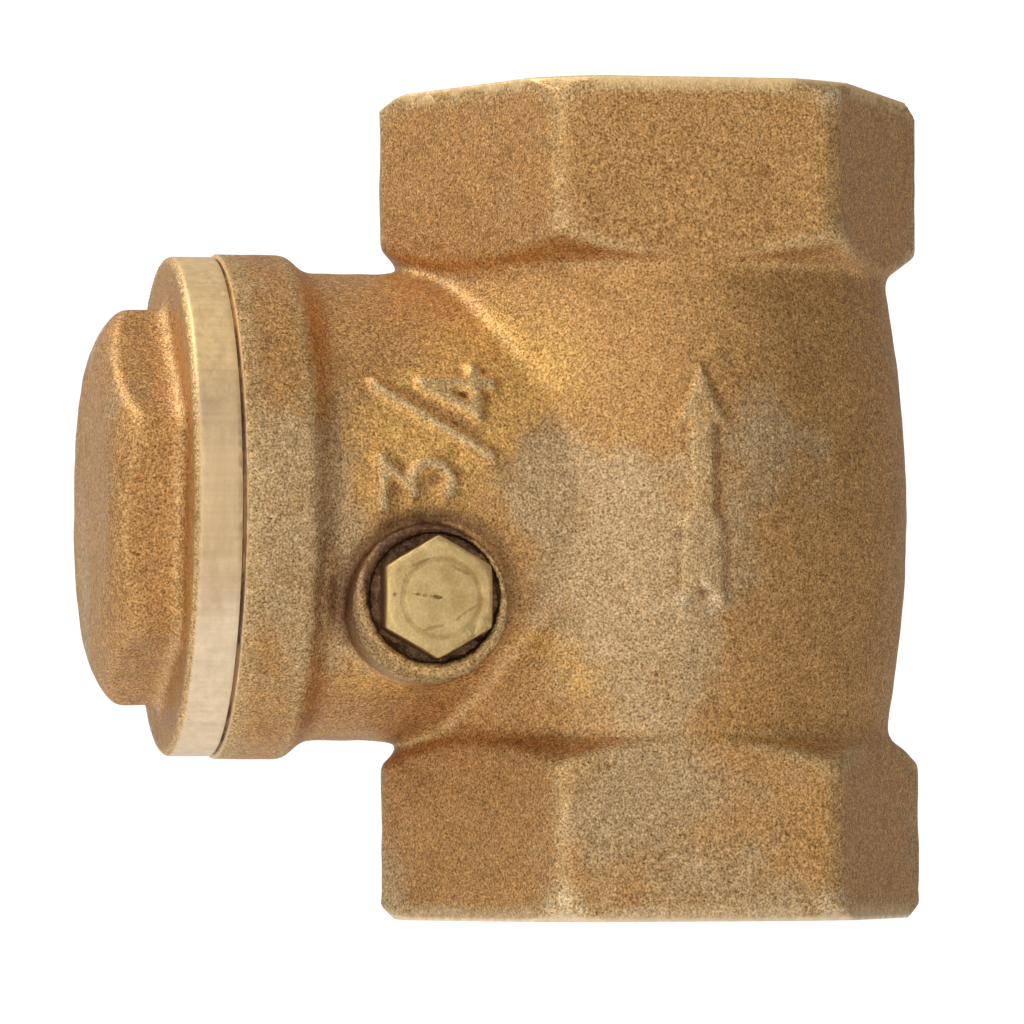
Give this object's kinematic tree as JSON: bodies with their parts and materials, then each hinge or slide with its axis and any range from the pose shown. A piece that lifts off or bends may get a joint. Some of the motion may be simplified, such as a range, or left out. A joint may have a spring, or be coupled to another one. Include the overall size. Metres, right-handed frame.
{
  "type": "check valve",
  "caption": "Brass swing check valve with female threaded hexagon ends, a screwed bonnet cap, a side hinge pin plug and a swinging clapper with a soft seat.",
  "frame": {"origin": "centre of the inlet port's outer face, on the flow axis", "axes": "+Z along the flow from inlet to outlet, -X towards the bonnet cap, -Y towards the side with the hinge pin's plug and the raised flow arrow"},
  "size_m": [0.0594, 0.0375, 0.058],
  "materials": {
    "cast_brass": "shot-blasted sand casting, with machined ends",
    "plug_brass": "drawn and turned, smooth",
    "turned_brass": "turned, satin",
    "stainless": "ground bar",
    "nitrile": "moulded, matt",
    "gasket_fibre": "pressed fibre, matt",
    "copper": "soft copper washer, dull"
  },
  "bodies": {
    "body": {"valve_body": "cast_brass", "bonnet_cap": "cast_brass", "bonnet_gasket": "gasket_fibre", "hinge_pin": "stainless", "pin_plug": "plug_brass", "pin_plug_washer": "copper"},
    "arm": {"clapper_arm": "turned_brass"},
    "disc": {"clapper_disc": "turned_brass", "disc_seal": "nitrile", "seal_retainer": "stainless", "disc_bolt": "stainless", "disc_washer": "stainless", "disc_nut": "turned_brass", "split_pin": "stainless"}
  },
  "joints": [
    {"name": "clapper_swing", "type": "hinge", "parent": "body", "child": "arm", "pos_m": [-0.0184, 0, 0.0221], "axis": [0, -1, 0], "range_deg": [0, 50]},
    {"name": "disc_spin", "type": "hinge", "parent": "arm", "child": "disc", "pos_m": [-0.00126, 0, 0.02512], "axis": [-0.1736, 0, 0.9848], "continuous": true}
  ]
}
